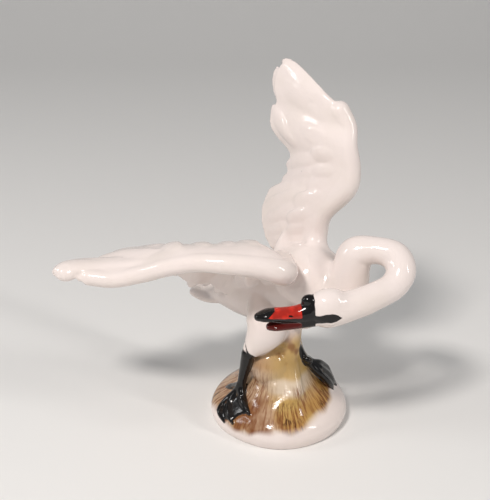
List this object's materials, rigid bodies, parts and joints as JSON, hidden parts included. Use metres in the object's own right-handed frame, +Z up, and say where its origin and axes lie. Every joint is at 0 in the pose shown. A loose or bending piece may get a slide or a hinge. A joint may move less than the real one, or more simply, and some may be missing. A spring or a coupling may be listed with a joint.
{
  "type": "swan figurine",
  "caption": "Glazed porcelain swan on a rocky mound, one wing raised and one spread low, the neck looped back across its breast; it stands free on a round base.",
  "frame": {"origin": "under the middle of the bounding box, at the height of the table", "axes": "+Z up, the base stands on z = 0; seen from -Y the lowered wing reaches to -X and the neck loop to +X"},
  "size_m": [0.1414, 0.0798, 0.148],
  "materials": {
    "glazed_porcelain": "white porcelain under a clear gloss glaze, painted black, red, ochre and brown in places"
  },
  "bodies": {
    "root": {"swan_figurine": "glazed_porcelain"}
  },
  "joints": []
}
